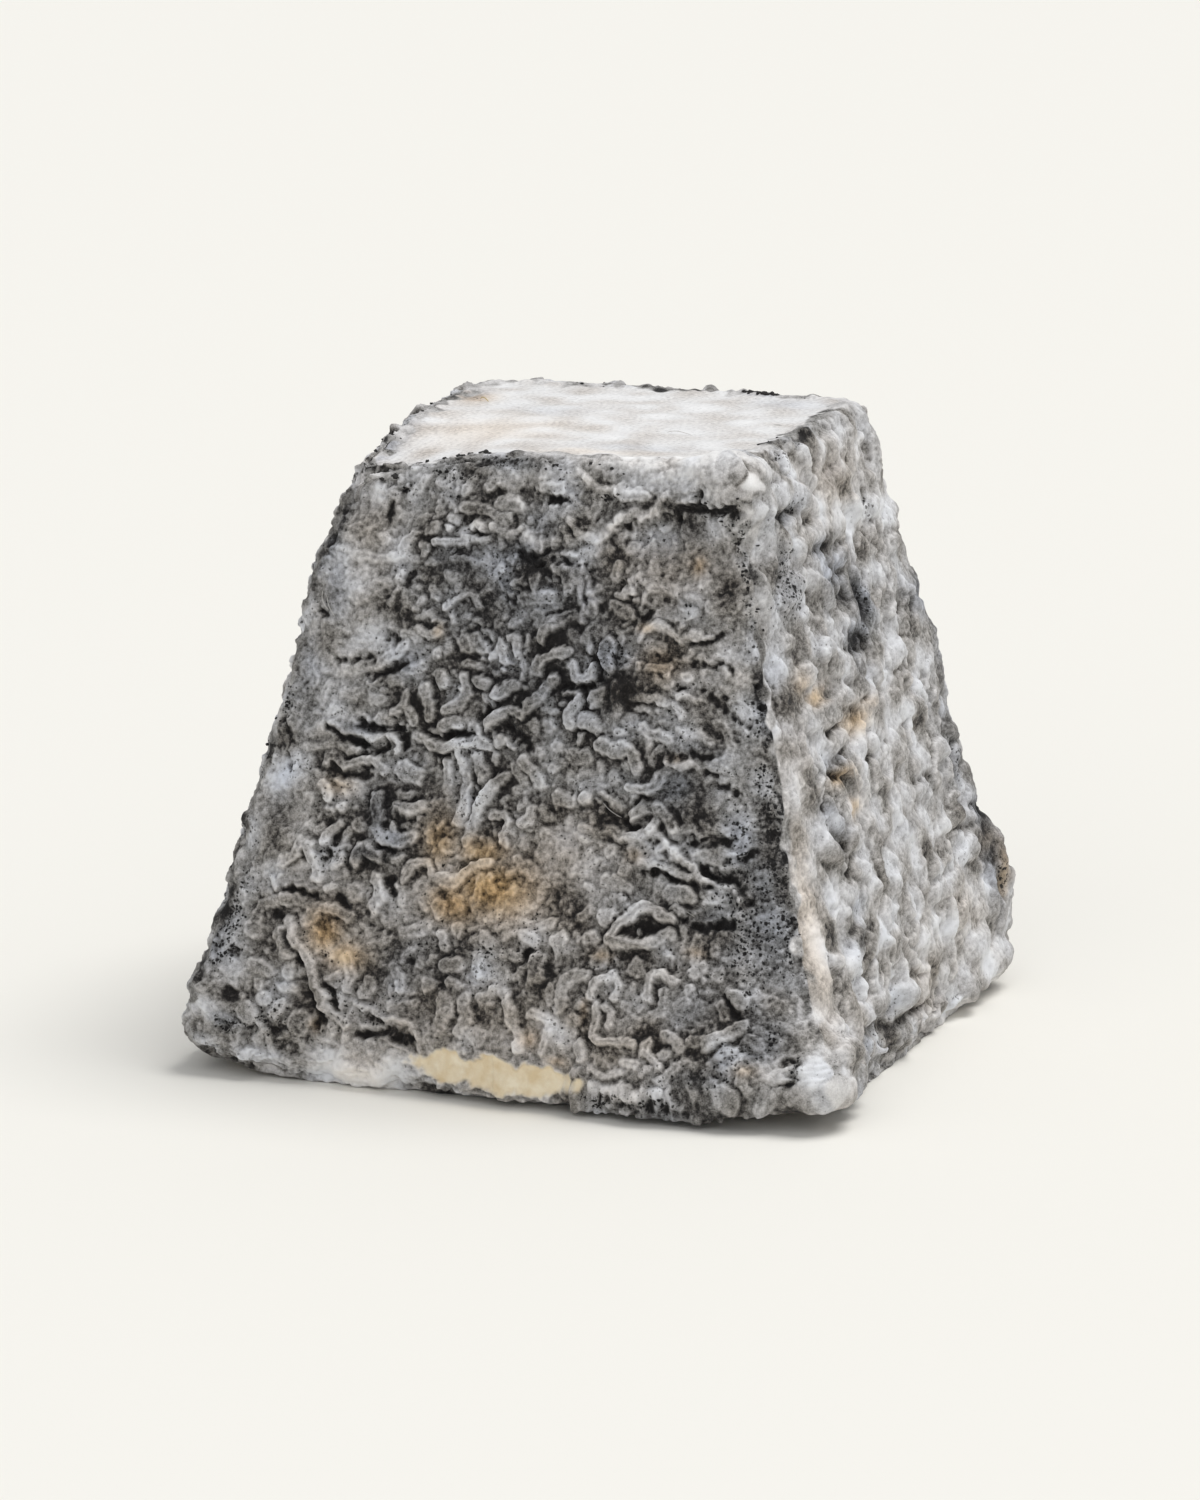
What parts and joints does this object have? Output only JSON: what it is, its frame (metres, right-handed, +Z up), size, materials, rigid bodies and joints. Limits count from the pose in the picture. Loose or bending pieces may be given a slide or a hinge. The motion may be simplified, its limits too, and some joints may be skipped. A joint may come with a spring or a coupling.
{
  "type": "goat cheese pyramid",
  "caption": "Ripened goat's cheese in the form of a cut-off pyramid, dusted with ash, with a wrinkled rind, standing on its square foot.",
  "frame": {"origin": "middle of the box round the cheese, on the surface it stands on", "axes": "+Z up from the foot to the top face, -Y out of the broad front face, +X out of the whiter, draped right face"},
  "size_m": [0.0746, 0.0778, 0.0666],
  "materials": {
    "ashen_rind": "dry, matt and downy wrinkled rind: grey and brown-black ash in the valleys, pale grey mould on the folds, near white on the top"
  },
  "bodies": {
    "root": {"cheese": "ashen_rind"}
  },
  "joints": []
}
